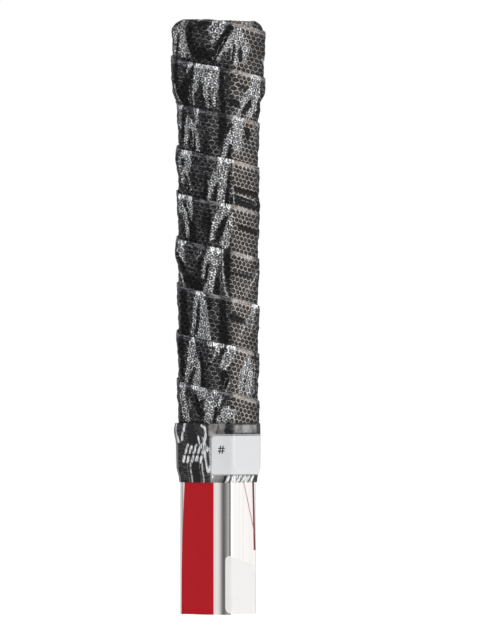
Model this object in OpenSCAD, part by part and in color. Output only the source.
// Wrapped grip on the butt end of an eight-sided stick shaft.
// A cushioned tape is wound over a rubber end cap and down an extruded tube, each lower turn lying on the turn
// above it, and a finishing tape with a write-on number label holds the tape's lower end.
// +Z runs up the shaft's axis to the butt end. The origin is the centre of the shaft's open lower end.
// The wide flats face +X, +Y, -X and -Y, with a narrow bevel flat between each pair.

/* [Shaft] */
// Distance across the wide flats
shaft_across = 25.4; // [22:0.1:30]
// Width of each narrow bevel flat
bevel_w = 7.9; // [6:0.1:9]
// Wall thickness of the tube
shaft_wall = 1.3; // [0.9:0.1:2]
// Radius along the eight long edges
edge_r = 1; // [0.6:0.1:1.5]
// Bare length below the grip
bare_len = 49.4; // [20:0.1:120]

/* [End cap] */
// Thickness of the cap's side wall
cap_wall = 2.2; // [1.5:0.1:3]
// Height of the cap
cap_len = 28.5; // [20:0.5:40]
// Thickness of the cap's end
cap_end = 3; // [2:0.1:5]
// Radius round the cap's top rim
cap_rim_r = 4; // [2:0.1:5]

/* [Grip tape] */
// Length of shaft that the grip and its finishing tape cover
grip_len = 172.6; // [120:0.1:260]
// Width of the tape
tape_w = 25; // [20:0.5:32]
// Thickness of the tape
tape_t = 0.5; // [0.4:0.05:1.1]
// Distance down the shaft from one turn to the next
pitch = 17.27; // [14:0.01:20]
// How far a hand-wound turn strays from an even pitch
wander = 1.4; // [0:0.1:2]
// Width of the adhesive strip on the tape's back
glue_w = 10; // [6:0.5:12]
// Thickness of the adhesive strip
glue_t = 0.1; // [0.05:0.01:0.15]

/* [Finishing tape] */
// Width of the finishing tape
finish_w = 22; // [18:0.1:30]
// Thickness of the finishing tape
finish_t = 0.25; // [0.15:0.05:0.4]
// Height of the number label
label_h = 13.9; // [10:0.1:16]
// Length of the number label round the shaft
label_w = 29; // [20:0.5:34]

/* [Graphics] */
// Thickness of a printed or stuck-on film
film_t = 0.05; // [0.03:0.01:0.1]
// Height of the number sign
sign_h = 3; // [2:0.1:4]

/* [Hidden] */

GAP = 0.02;             // clearance between films and tapes that touch
STEPS = 6;              // points on each long edge of a smooth outline
RAMP = 1.4;             // length over which a turn steps down off the turn above
TOP = bare_len + grip_len - tape_t - glue_t - 2 * GAP;
SHAFT_TOP = TOP - cap_end;
WIDE_D = shaft_across / 2;
WIDE_W = shaft_across - sqrt(2) * bevel_w;
BEVEL_D = (WIDE_D + WIDE_W / 2) / sqrt(2);
CORNER = edge_r * tan(22.5);
BORE_R = 0.4;           // radius along the tube's inside edges
FRONT = 7;              // the bevel flat that faces +X and -Y
RIGHT = 8;              // the wide flat that faces +X
LEFT = 6;               // the wide flat that faces -Y

// The outline: faces 0, 2, 4 and 6 are wide and 1, 3, 5 and 7 are bevels. Corner c lies between faces c and c + 1.
function wide(i) = i % 2 == 0;
function face_d(i) = wide(i) ? WIDE_D : BEVEL_D;
function flat_w(i) = (wide(i) ? WIDE_W : bevel_w) - 2 * CORNER;
function dir(a) = [cos(a), sin(a)];
function corner_mid(c, in = edge_r) =
    let (n = 45 * c, near = face_d(c) - in, far = face_d(c + 1) - in)
    near * dir(n) + (far - near * cos(45)) / sin(45) * dir(n + 90);
function corner_point(c, turn, off) = corner_mid(c) + (edge_r + off) * dir(45 * (c + turn));
function outline(off, steps = STEPS) =
    [for (c = [0:7]) for (k = [0:steps]) corner_point(c, k / steps, off)];
function bore() =
    [for (c = [0:7]) for (k = [0, 1]) corner_mid(c, shaft_wall + BORE_R) + BORE_R * dir(45 * (c + k))];

// Distance round the shaft, measured at the tape: zero is the end of flat 0, at the start of corner 0.
ARC = (edge_r + tape_t) * PI / 4;
ROUND = 4 * (flat_w(0) + flat_w(1)) + 8 * ARC;
function round_to(c) = ARC * c + flat_w(1) * ceil(c / 2) + flat_w(0) * floor(c / 2);
// A point at a distance s round the shaft and at an offset from its surface.
function corner_before(s) = max([for (c = [0:8]) if (round_to(c) <= s + 1e-6) c]);
function spot(s, off) =
    let (t = s - ROUND * floor(s / ROUND + 1e-9), c = min(7, corner_before(t)), past = t - round_to(c))
    past <= ARC ? corner_point(c, past / ARC, off)
                : corner_point(c, 1, off) + (past - ARC) * dir(45 * (c + 1) + 90);
// The distance round to a place on flat i, t from its middle.
function on_flat(i, t) = round_to(i - 1) + ARC + flat_w(i) / 2 + t;

// The surface under the tape: q is the distance up it, equal to height below the cap's rim.
CAP_FOOT = TOP - cap_len;
RIM_Q = TOP - cap_rim_r;
TOP_Q = RIM_Q + cap_rim_r * PI / 2 * 0.88;
TENT = 4.5;             // length over which the tape comes down from the cap to the shaft
function rim_angle(q) = max(0, q - RIM_Q) / cap_rim_r * 180 / PI;
function tent(q) = min(1, max(0, (q - (CAP_FOOT - TENT / 2)) / TENT));
function under_off(q) = cap_wall * tent(q) - cap_rim_r * (1 - cos(rim_angle(q)));
function under_z(q) = min(q, RIM_Q) + cap_rim_r * sin(rim_angle(q));
// A point that is d out from that surface.
function lift(s, q, d) =
    let (a = rim_angle(q), p = spot(s, under_off(q) + d * cos(a)))
    [p[0], p[1], under_z(q) + d * sin(a)];

// The helix: the tape's upper edge, one turn per round, going down as it goes from -Y to +X to +Y.
LEAN = atan(pitch / ROUND);
DROP = tape_w / cos(LEAN);
EDGE_Q = bare_len + 160;        // height of an upper edge where corner 4 ends
END_Q = bare_len + 4.6;         // where the tape's lower end is trimmed square to the shaft
NOTCH = 3;                      // width of the tape's tapered tips
REF = round_to(4) + ARC;
// The sag of the wander is largest half way down the grip.
function down(s) = (s - REF) / ROUND;
function stray(s) = wander * sin(180 * min(1, max(0, (down(s) - 1) / 6)));
function edge_q(s) = EDGE_Q - pitch * down(s) + stray(s);
// One tape ring stands at each end of each corner.
function ring_s(j) = let (turn = floor(j / 16), i = j - 16 * turn)
    turn * ROUND + round_to(floor(i / 2)) + (i % 2) * ARC;
RING_LIST = [for (j = [-40:180])
    if (edge_q(ring_s(j)) - DROP < TOP_Q - NOTCH && edge_q(ring_s(j)) > END_Q + NOTCH) j];
FIRST = RING_LIST[0];
LAST = RING_LIST[len(RING_LIST) - 1];

// Levels across the tape at a ring, from its upper edge to its lower edge: the part that lies on the turn above,
// the step down off it, and the part that lies on the cap or shaft. Each is [q, layer].
ON_TURN = 4;
ON_SHAFT = 6;
TINY = 0.04;
function levels(j) =
    let (s = ring_s(j),
         hi = min(TOP_Q, edge_q(s)),
         lo = max(END_Q, edge_q(s) - DROP),
         over = j >= FIRST + 16 ? 1 : 0,
         seam = max(END_Q, edge_q(s - ROUND) - DROP),
         a = min(hi - ON_TURN * TINY, max(seam, lo + (ON_SHAFT + 1) * TINY)),
         b = max(a - RAMP, lo + ON_SHAFT * TINY))
    concat([for (i = [0:ON_TURN]) [hi + (a - hi) * i / ON_TURN, over]],
           [for (i = [0:ON_SHAFT]) [b + (lo - b) * i / ON_SHAFT, seam < lo + TINY ? over : 0]]);

TAPE_IN = glue_t + 2 * GAP;
LAYER = tape_t + GAP;

// Closed skin through rings that all have the same even number of points: half of them run along one side and the
// rest come back along the other, so each end is closed by triangles between the two sides.
module rings_solid(rings) {
    n = len(rings[0]);
    m = len(rings);
    polyhedron(
        points = [for (ring = rings) each ring],
        faces = concat(
            [for (i = [0:n / 2 - 2]) each [[i, i + 1, n - 2 - i], [i, n - 2 - i, n - 1 - i]]],
            [for (k = [0:m - 2]) for (i = [0:n - 1]) let (e = (i + 1) % n, a = k * n, b = a + n) each
                [[a + i, b + i, b + e], [a + i, b + e, a + e]]],
            [for (i = [0:n / 2 - 2]) let (a = (m - 1) * n) each
                [[a + n - 2 - i, a + i + 1, a + i], [a + n - 1 - i, a + n - 2 - i, a + i]]]),
        convexity = 12);
}

// A strip's section at distance s: places are [q, inner lift, outer lift] from its upper edge to its lower edge.
function section(s, places) = concat(
    [for (p = places) lift(s, p[0], p[2])],
    [for (i = [len(places) - 1:-1:0]) lift(s, places[i][0], places[i][1])]);

module shaft_tube() {
    color("silver")
    difference() {
        linear_extrude(SHAFT_TOP) polygon(outline(0));
        translate([0, 0, -1]) linear_extrude(SHAFT_TOP + 2) polygon(bore());
    }
}

// The cap is a cup over the shaft's end: its foot is chamfered, and its rim is rounded in steps.
module end_cap() {
    slice = 0.02;
    rim = cap_rim_r + 0.3;
    top = TOP - GAP;
    color("dimgray")
    difference() {
        hull() {
            translate([0, 0, CAP_FOOT]) linear_extrude(slice) polygon(outline(0.7, 1));
            translate([0, 0, CAP_FOOT + 3.5]) linear_extrude(slice) polygon(outline(cap_wall, 1));
            for (a = [0:15:90]) translate([0, 0, top - rim * (1 - sin(a)) - slice])
                linear_extrude(slice) polygon(outline(cap_wall - rim * (1 - cos(a)), 1));
        }
        translate([0, 0, CAP_FOOT - 1]) linear_extrude(SHAFT_TOP + GAP - CAP_FOOT + 1)
            polygon(outline(GAP));
    }
}

module adhesive_strip() {
    inset = (tape_w - glue_w) * 0.72;
    steps = 4;
    rings = [for (j = [FIRST:LAST])
        let (s = ring_s(j), hi = min(TOP_Q - 1, edge_q(s) - inset), lo = max(END_Q + 0.5, hi - glue_w))
        if (hi > lo + 1 && edge_q(s) - inset < TOP_Q - 1) section(s,
            [for (i = [0:steps]) [hi + (lo - hi) * i / steps, GAP, GAP + glue_t]])];
    color("wheat") rings_solid(rings);
}

module grip_tape() {
    rings = [for (j = [FIRST:LAST]) section(ring_s(j),
        [for (v = levels(j)) [v[0], TAPE_IN + v[1] * LAYER, TAPE_IN + v[1] * LAYER + tape_t]])];
    color("darkslategray") rings_solid(rings);
}

// The finishing tape hugs the bare shaft at its foot and rises over the grip tape's end. It overlaps itself on the
// bevel flat that faces -X and +Y.
FINISH_LOW = 0.1;
FINISH_HIGH = TAPE_IN + 2 * LAYER + 0.04;
function finish_off(q) = FINISH_LOW + (FINISH_HIGH - FINISH_LOW)
    * min(1, max(0, (q - (bare_len + 0.8)) / (END_Q - bare_len - 1.2)));
FINISH_Q = [for (f = [0, 0.03, 0.1, 0.18, 0.6, 1]) bare_len + f * finish_w];
module finishing_tape() {
    start = -12;
    rings = [for (j = [start:start + 18])
        let (s = ring_s(j), layer = j > start + 15 ? finish_t + GAP : 0)
        section(s, [for (i = [5:-1:0]) let (q = FINISH_Q[i])
            [q, finish_off(q) + layer, finish_off(q) + layer + finish_t]])];
    color("black") rings_solid(rings);
}

// A film that follows the flats and edges: places are [s, low, high], and off(q) is the surface it lies on.
function film_rings(places, off, thick, rows) =
    [for (p = places) [for (i = [0:2 * rows + 1])
        let (outer = i <= rows, f = (outer ? i : 2 * rows + 1 - i) / rows, q = p[2] + (p[1] - p[2]) * f)
        concat(spot(p[0], off(q) + (outer ? thick : 0)), [q])]];

// Places for a film from s0 to s1 with rounded corners of radius r; flat edges and the shaft's long edges get rings.
function film_places(s0, s1, low, high, r) =
    let (bends = [for (c = [0:17]) for (k = [0, 0.5, 1])
                     let (s = round_to(c % 8) + ROUND * floor(c / 8) + k * ARC) if (s > s0 + r && s < s1 - r) s],
         ends = [for (a = [0:22.5:90]) [s0 + r * (1 - sin(a)), r * (1 - cos(a))]])
    concat([for (i = [4:-1:0]) [ends[i][0], low + ends[i][1], high - ends[i][1]]],
           [for (s = bends) [s, low, high]],
           [for (i = [0:4]) [s0 + s1 - ends[i][0], low + ends[i][1], high - ends[i][1]]]);

// The label lies on the finishing tape, from the front bevel round to +X and beyond.
LABEL_LOW = bare_len + 3;
LABEL_S = on_flat(FRONT, -flat_w(FRONT) / 2 - 0.1);
function on_finish(q) = finish_off(q) + finish_t + GAP;
function on_label_film(q) = on_finish(q) + film_t + GAP;
module label_film() {
    side = 0.45;
    above = 1.4;
    color("gainsboro") rings_solid(film_rings(
        film_places(LABEL_S - side, LABEL_S + label_w + side, LABEL_LOW - side, LABEL_LOW + label_h + above, 1.4),
        function (q) on_finish(q), film_t, 8));
}

module number_label() {
    color("white") rings_solid(film_rings(
        film_places(LABEL_S, LABEL_S + label_w, LABEL_LOW, LABEL_LOW + label_h, 1.1),
        function (q) on_label_film(q), film_t, 8));
}

// Draws its child flat on face i, at a lift off the shaft, with x along the shaft's round and y up it.
module on_face(i, off) {
    rotate([0, 0, 45 * i]) translate([face_d(i) + off, 0, 0]) rotate([90, 0, 90]) children();
}

// A plain number sign marks where a player's number is written.
module number_sign() {
    bar = sign_h * 0.13;
    span = sign_h * 0.74;
    lean = 8;
    off = on_label_film(LABEL_LOW + label_h) + film_t + GAP;
    color("black") on_face(FRONT, off) translate([0, LABEL_LOW + label_h * 0.62, 0])
        linear_extrude(film_t) union() {
            for (x = [-1, 1]) rotate(-lean) square_mid([x * span * 0.22, 0], [bar, sign_h]);
            for (y = [-1, 1]) square_mid([0, y * sign_h * 0.16], [span, bar]);
        }
}
module square_mid(at, size) {
    translate([at[0] - size[0] / 2, at[1] - size[1] / 2]) square(size);
}

// The red panel's left edge slants out to the flat's left edge at the shaft's end.
PANEL_TOP = bare_len + 6;
module red_panel() {
    half = flat_w(LEFT) / 2;
    color("firebrick") on_face(LEFT, GAP) linear_extrude(film_t)
        polygon([[-half, 0.1], [half, 0.1], [half, PANEL_TOP], [-half * 0.62, PANEL_TOP], [-half, 6]]);
}

// A plain white block graphic wraps from the front bevel onto the +X flat.
module white_panel() {
    low = 0.6;
    high = bare_len * 0.45;
    fall = 4.5;
    s0 = on_flat(FRONT, 1.2);
    s1 = on_flat(RIGHT, flat_w(RIGHT) / 2);
    places = [for (p = film_places(s0, s1, low, high, 2.4))
        [p[0], p[1], p[2] - fall * (p[0] - s0) / (s1 - s0)]];
    color("white") rings_solid(film_rings(places, function (q) GAP, film_t, 1));
}

// Two fine stripes on the +X flat run down to its far edge.
module stripe(top_at, foot_at, foot_z, width) {
    color("firebrick") on_face(RIGHT, GAP) linear_extrude(film_t)
        polygon([[foot_at, foot_z], [foot_at + width, foot_z], [top_at + width, PANEL_TOP], [top_at, PANEL_TOP]]);
}
module dark_pinstripe() { stripe(4.3, 5.9, 24, 0.55); }
module pale_pinstripe() { stripe(-1.6, 5.5, 29, 0.3); }

shaft_tube();
end_cap();
adhesive_strip();
grip_tape();
finishing_tape();
label_film();
number_label();
number_sign();
red_panel();
white_panel();
dark_pinstripe();
pale_pinstripe();
